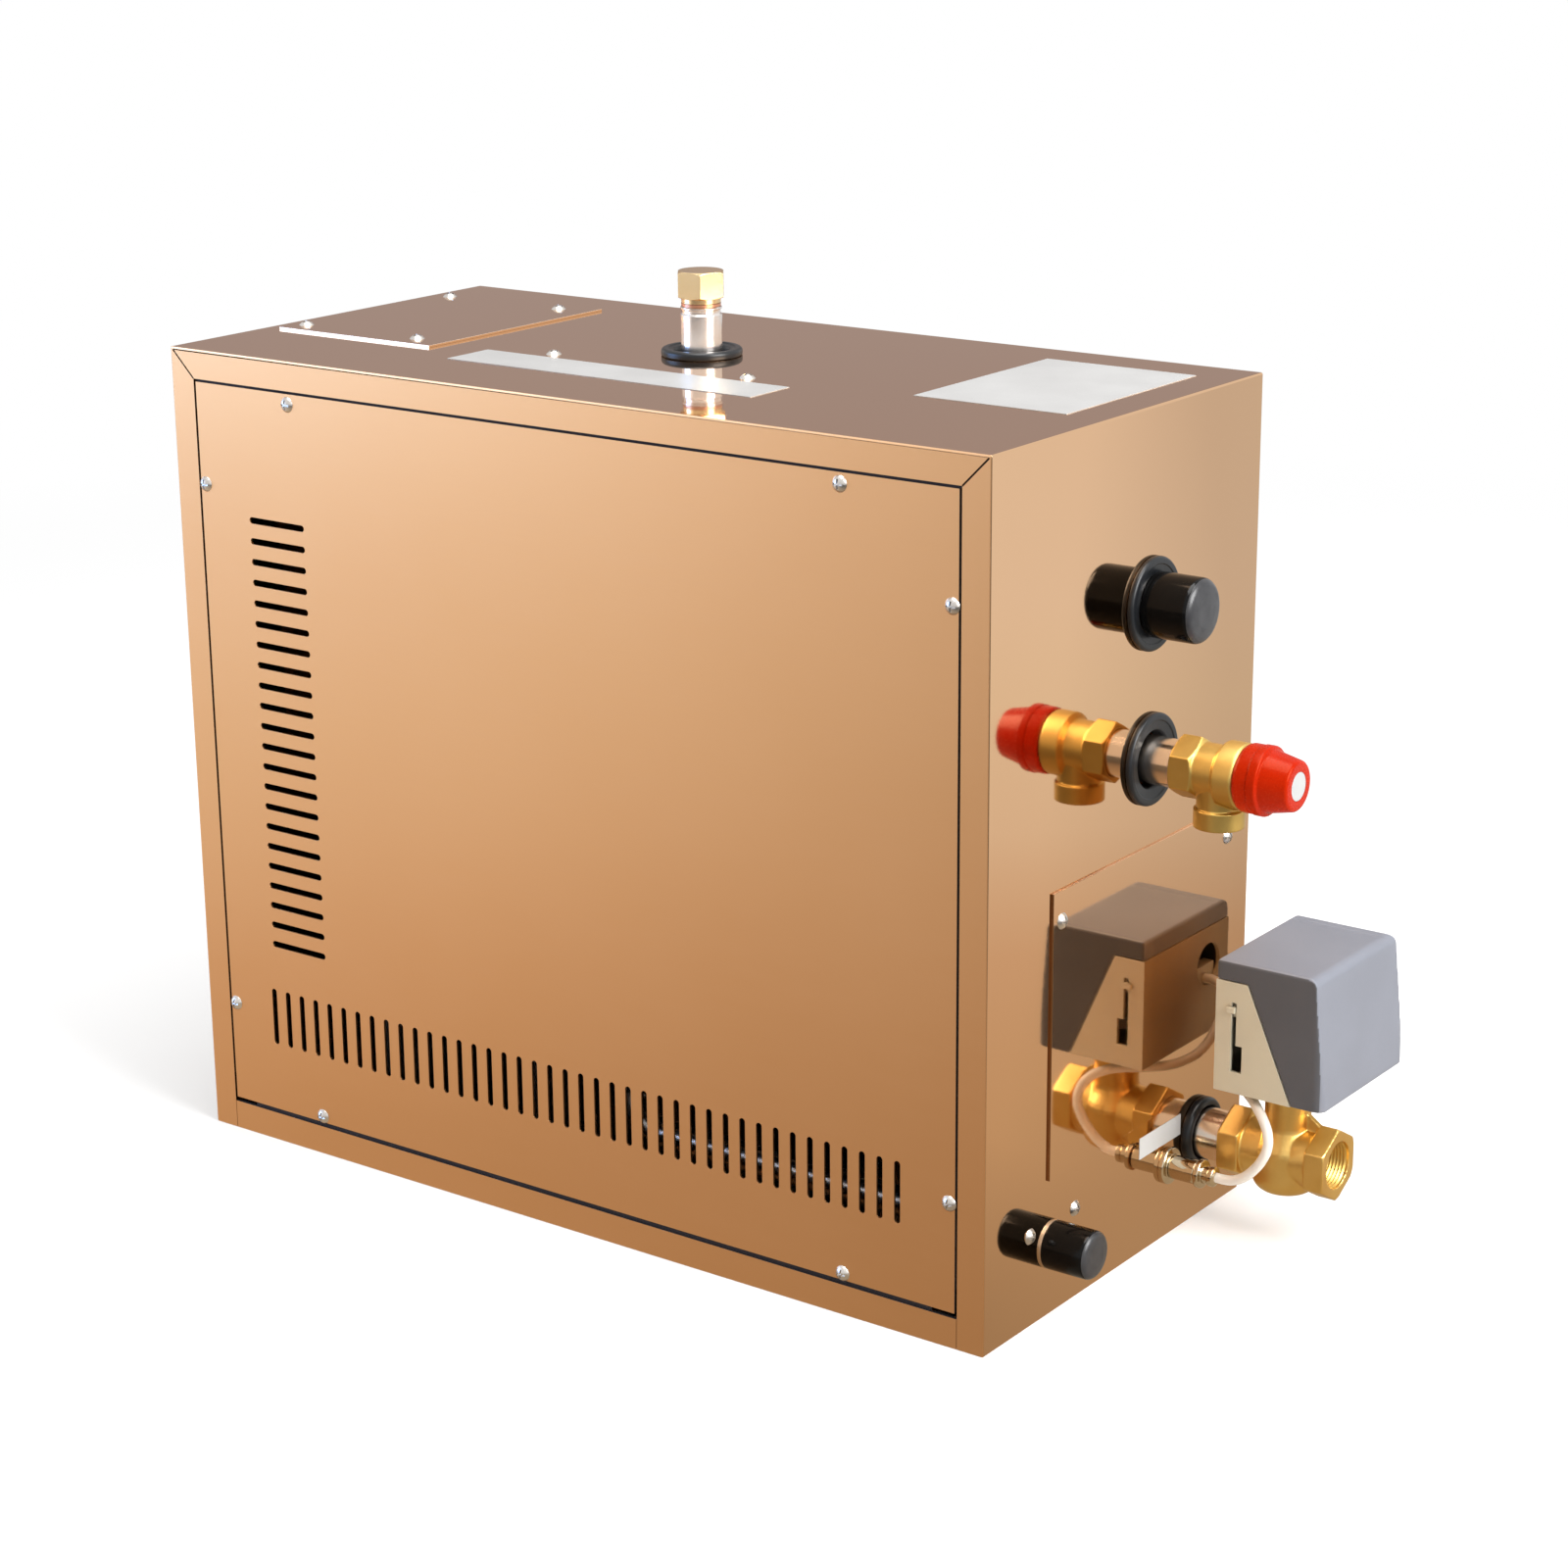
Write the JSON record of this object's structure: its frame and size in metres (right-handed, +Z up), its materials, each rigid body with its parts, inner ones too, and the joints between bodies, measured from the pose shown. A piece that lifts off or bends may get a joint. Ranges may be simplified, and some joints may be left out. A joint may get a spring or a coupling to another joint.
{
  "type": "sauna steam generator",
  "caption": "Wall-hung or floor-standing sauna steam generator: folded metal case with slotted front, side steam outlet, relief valve, motor drain valve, water inlet and top service plug",
  "frame": {"origin": "middle of the casing's footprint, on the flat underside of the base tray", "axes": "+X to the side with the pipe fittings, -Y to the slotted front, +Z up"},
  "size_m": [0.5845, 0.2622, 0.4694],
  "materials": {
    "coated_steel": "rose bronze coated stainless sheet, near mirror",
    "front_steel": "rose bronze coated stainless sheet, satin",
    "screw_steel": "bright plated steel",
    "label_film": "blank white film",
    "zinc_sheet": "galvanised sheet",
    "black_rubber": "dark rubber, slight sheen",
    "stainless": "plain stainless steel",
    "spring_steel": "drawn spring wire",
    "heater_steel": "oxidised heater sheath",
    "brass": "machined and cast brass",
    "copper": "annealed copper",
    "black_vinyl": "glossy black vinyl",
    "red_plastic": "bright red moulded plastic",
    "white_plastic": "natural white moulded plastic",
    "beige_plastic": "beige moulded plastic",
    "grey_plastic": "blue grey moulded plastic with a fine texture",
    "dark_plastic": "dark moulded plastic",
    "coil_plastic": "moulded coil body",
    "board_green": "populated circuit board",
    "lead_sheath": "white flexible sheath",
    "plug_metal": "plated turned metal"
  },
  "bodies": {
    "root": {"shell": "coated_steel", "base_tray": "coated_steel", "rear_panel": "coated_steel", "front_panel": "front_steel", "front_panel_screws": "screw_steel", "casing_screws": "screw_steel", "access_cover": "coated_steel", "wiring_cover": "coated_steel", "blank_labels": "label_film", "partition": "zinc_sheet", "cable_grommets": "black_rubber", "service_tube": "stainless", "service_grommet": "black_rubber", "steam_pipe": "stainless", "steam_grommet": "black_rubber", "relief_nipple": "stainless", "relief_grommet": "black_rubber", "relief_body": "brass", "relief_bonnet": "brass", "relief_spring": "spring_steel", "drain_pipe": "stainless", "drain_grommet": "black_rubber", "valve_body": "brass", "ball_seats": "white_plastic", "actuator_base": "beige_plastic", "actuator_cover": "grey_plastic", "actuator_motor": "zinc_sheet", "lead_clamp": "beige_plastic", "drain_lead": "lead_sheath", "lead_plug": "plug_metal", "lead_socket": "plug_metal", "panel_nuts": "screw_steel", "inlet_valve": "white_plastic", "inlet_coil": "coil_plastic", "fill_pipe": "stainless", "tank": "stainless", "tank_stand": "zinc_sheet", "top_bracket": "zinc_sheet", "heater_flange": "stainless", "heating_elements": "heater_steel", "flange_bolts": "screw_steel", "level_probe": "stainless", "limit_thermostat": "white_plastic", "control_board": "board_green", "contactors": "dark_plastic", "terminal_block": "white_plastic"},
    "drive_train": {"valve_ball": "stainless", "valve_stem": "brass", "drive_sector": "white_plastic"},
    "pinion": {"motor_pinion": "brass"},
    "lever": {"manual_lever": "beige_plastic"},
    "washer_carriage": {"plug_washer": "copper"},
    "plug": {"hex_plug": "brass"},
    "knob": {"relief_knob": "red_plastic"},
    "relief_disc": {"relief_stem": "stainless"},
    "steam_cap": {"steam_cap": "black_vinyl"},
    "inlet_cap": {"inlet_cap": "black_vinyl"},
    "plunger": {"inlet_plunger": "stainless"},
    "button": {"reset_button": "red_plastic"},
    "ring": {"coupling_ring": "plug_metal"}
  },
  "joints": [
    {"name": "valve_turn", "type": "hinge", "parent": "root", "child": "drive_train", "pos_m": [0.3005, 0.0769, 0.1], "axis": [0, 0, -1], "range_deg": [0, 90]},
    {"name": "pinion_spin", "type": "hinge", "parent": "root", "child": "pinion", "pos_m": [0.3005, 0.1069, 0.1], "axis": [0, 0, -1], "range_deg": [-360, 0]},
    {"name": "lever_slide", "type": "slide", "parent": "root", "child": "lever", "axis": [0, 0, -1], "range_m": [0, 0.03]},
    {"name": "plug_rise", "type": "slide", "parent": "root", "child": "washer_carriage", "axis": [0, 0, 1], "range_m": [0, 0.01069]},
    {"name": "plug_turn", "type": "hinge", "parent": "washer_carriage", "child": "plug", "pos_m": [-0.007, 0.0095, 0.45], "axis": [0, 0, 1], "range_deg": [0, 2880]},
    {"name": "knob_turn", "type": "hinge", "parent": "root", "child": "knob", "pos_m": [0.32, 0.0195, 0.2568], "axis": [1, 0, 0], "range_deg": [0, 90]},
    {"name": "relief_lift", "type": "slide", "parent": "root", "child": "relief_disc", "axis": [1, 0, 0], "range_m": [0, 0.0015]},
    {"name": "steam_cap_pull", "type": "slide", "parent": "root", "child": "steam_cap", "axis": [1, 0, 0], "range_m": [0, 0.035]},
    {"name": "inlet_cap_pull", "type": "slide", "parent": "root", "child": "inlet_cap", "axis": [1, 0, 0], "range_m": [0, 0.03]},
    {"name": "plunger_lift", "type": "slide", "parent": "root", "child": "plunger", "axis": [0, 0, 1], "range_m": [0, 0.0025], "stiffness_N_per_m": 200, "springref_m": -0.004},
    {"name": "button_press", "type": "slide", "parent": "root", "child": "button", "axis": [-0.766, -0.6428, 0], "range_m": [0, 0.0015], "stiffness_N_per_m": 300, "springref_m": -0.002},
    {"name": "coupling_turn", "type": "hinge", "parent": "root", "child": "ring", "pos_m": [0.26, 0.0465, 0.0386], "axis": [1, 0, 0], "range_deg": [0, 1080]}
  ],
  "couplings": [
    {"joint": "valve_turn", "follows": "lever_slide", "rad_per_m": 52.359},
    {"joint": "pinion_spin", "follows": "lever_slide", "rad_per_m": -209.44},
    {"joint": "plug_turn", "follows": "plug_rise", "rad_per_m": 4699.5},
    {"joint": "knob_turn", "follows": "relief_lift", "rad_per_m": 1047.2}
  ]
}
